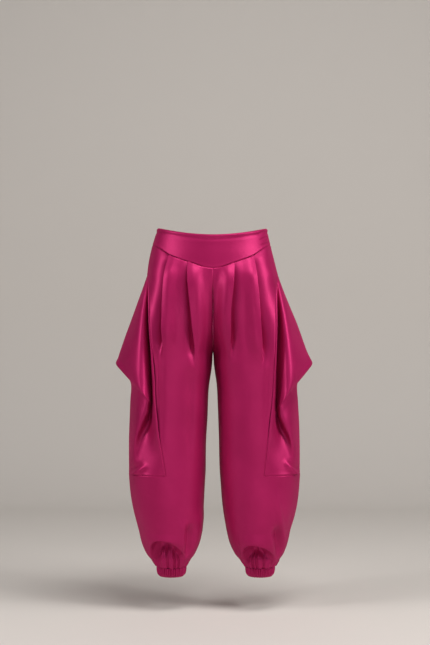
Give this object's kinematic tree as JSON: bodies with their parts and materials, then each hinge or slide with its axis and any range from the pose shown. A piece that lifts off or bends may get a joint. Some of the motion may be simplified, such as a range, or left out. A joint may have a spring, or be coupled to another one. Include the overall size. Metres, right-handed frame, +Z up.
{
  "type": "pleated trousers",
  "caption": "Pleated satin trousers with a V-edged waist yoke, draped folds hanging out at the sides and gathered ankle cuffs.",
  "frame": {"origin": "centre of the waist opening, level with its top edge at the sides, where the wearer's waist holds it", "axes": "+Z up along the body, -Y to the wearer's front, +X to the wearer's left"},
  "size_m": [0.5482, 0.2603, 0.964],
  "materials": {
    "satin": "satin"
  },
  "bodies": {
    "root": {"yoke_front": "satin", "yoke_back": "satin", "front_left": "satin", "front_right": "satin", "back_left": "satin", "back_right": "satin", "drape_left": "satin", "drape_right": "satin", "cuff_left": "satin", "cuff_right": "satin"}
  },
  "joints": []
}
